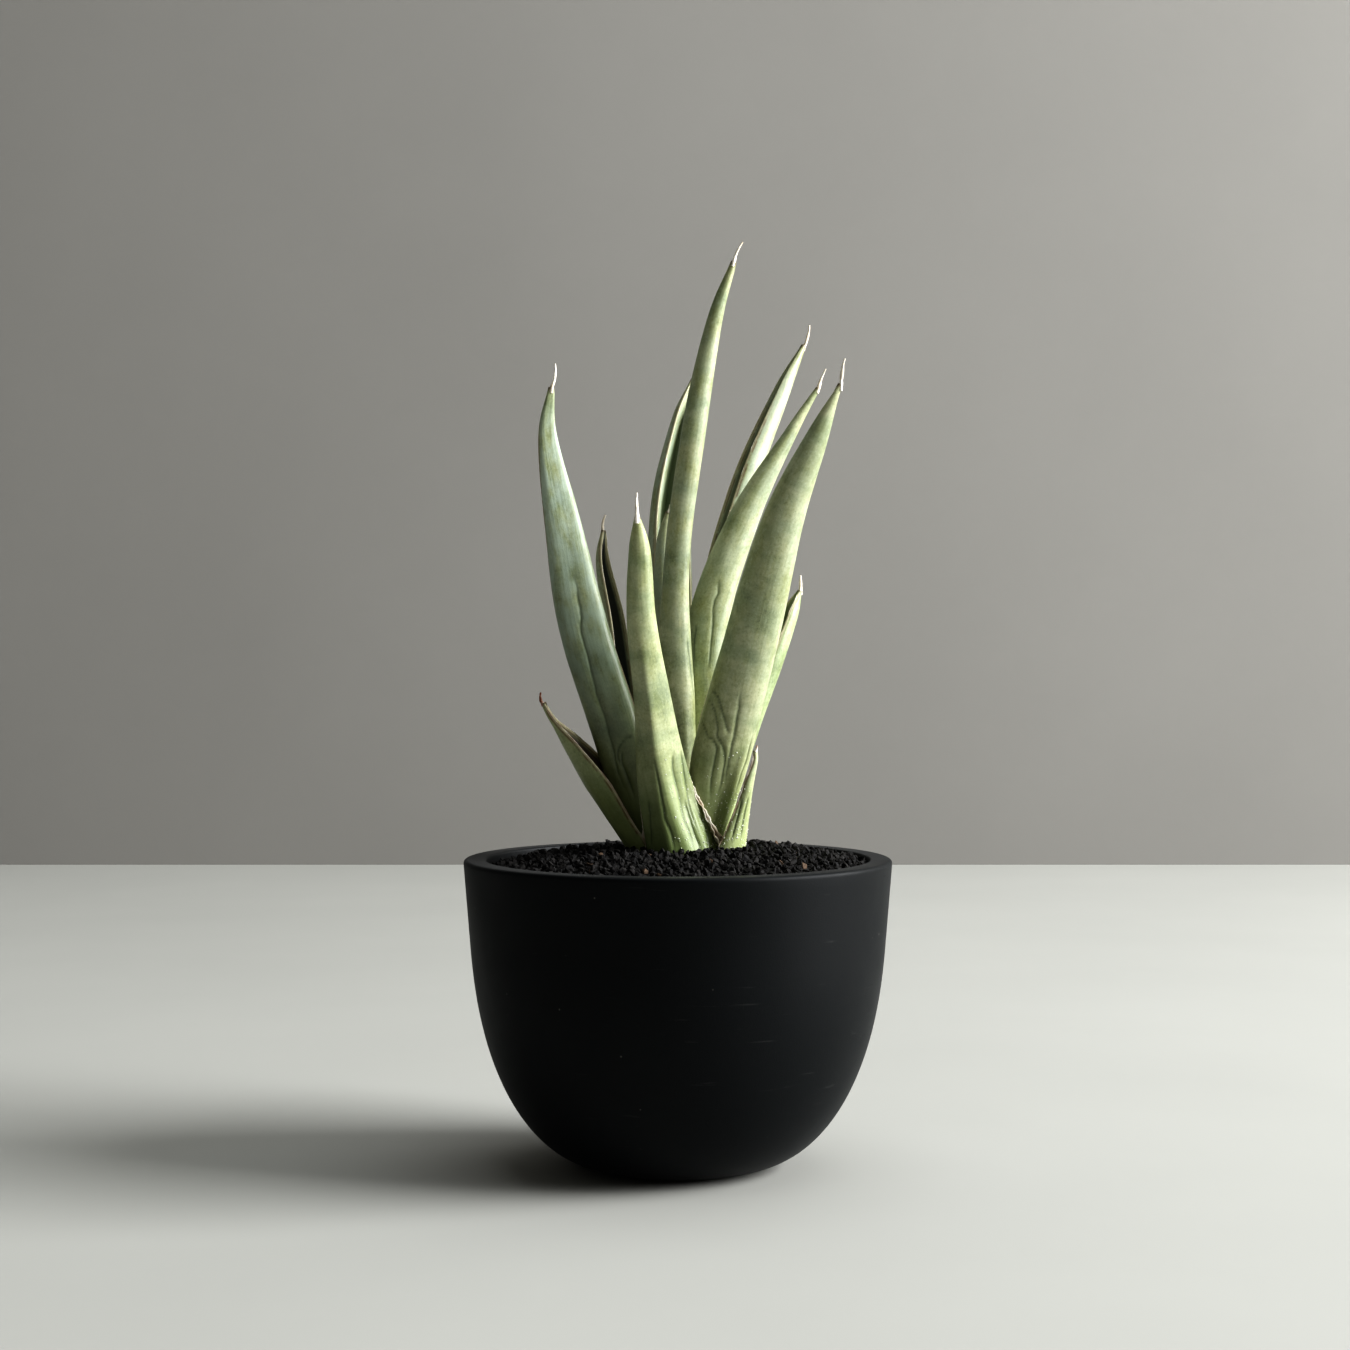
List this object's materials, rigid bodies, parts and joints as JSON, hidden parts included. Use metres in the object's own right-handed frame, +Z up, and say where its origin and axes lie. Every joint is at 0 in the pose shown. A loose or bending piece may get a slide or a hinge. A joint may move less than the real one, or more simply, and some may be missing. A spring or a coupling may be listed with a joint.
{
  "type": "potted green peach snake plant",
  "caption": "Potted snake plant: upright gutter-shaped succulent leaves with dry awns, in black grit in a round-bottomed black pot.",
  "frame": {"origin": "centre of the pot's flat foot, on the surface that it stands on", "axes": "+Z up, +Y away from the front view, +X to the right of the front view"},
  "size_m": [0.12, 0.12, 0.2572],
  "materials": {
    "pot": "satin",
    "soil": "matte",
    "root": "matte",
    "leaf": "satin"
  },
  "bodies": {
    "root": {"pot": "pot", "soil": "soil", "rootstock": "root", "leaf_young_spear": "leaf", "leaf_tallest": "leaf", "leaf_middle_back": "leaf", "leaf_right_middle": "leaf", "leaf_right_front": "leaf", "leaf_right_back": "leaf", "leaf_tall_left": "leaf", "leaf_short_left": "leaf", "leaf_low_right": "leaf", "leaf_front": "leaf", "leaf_small_right": "leaf", "leaf_low_left": "leaf"}
  },
  "joints": []
}
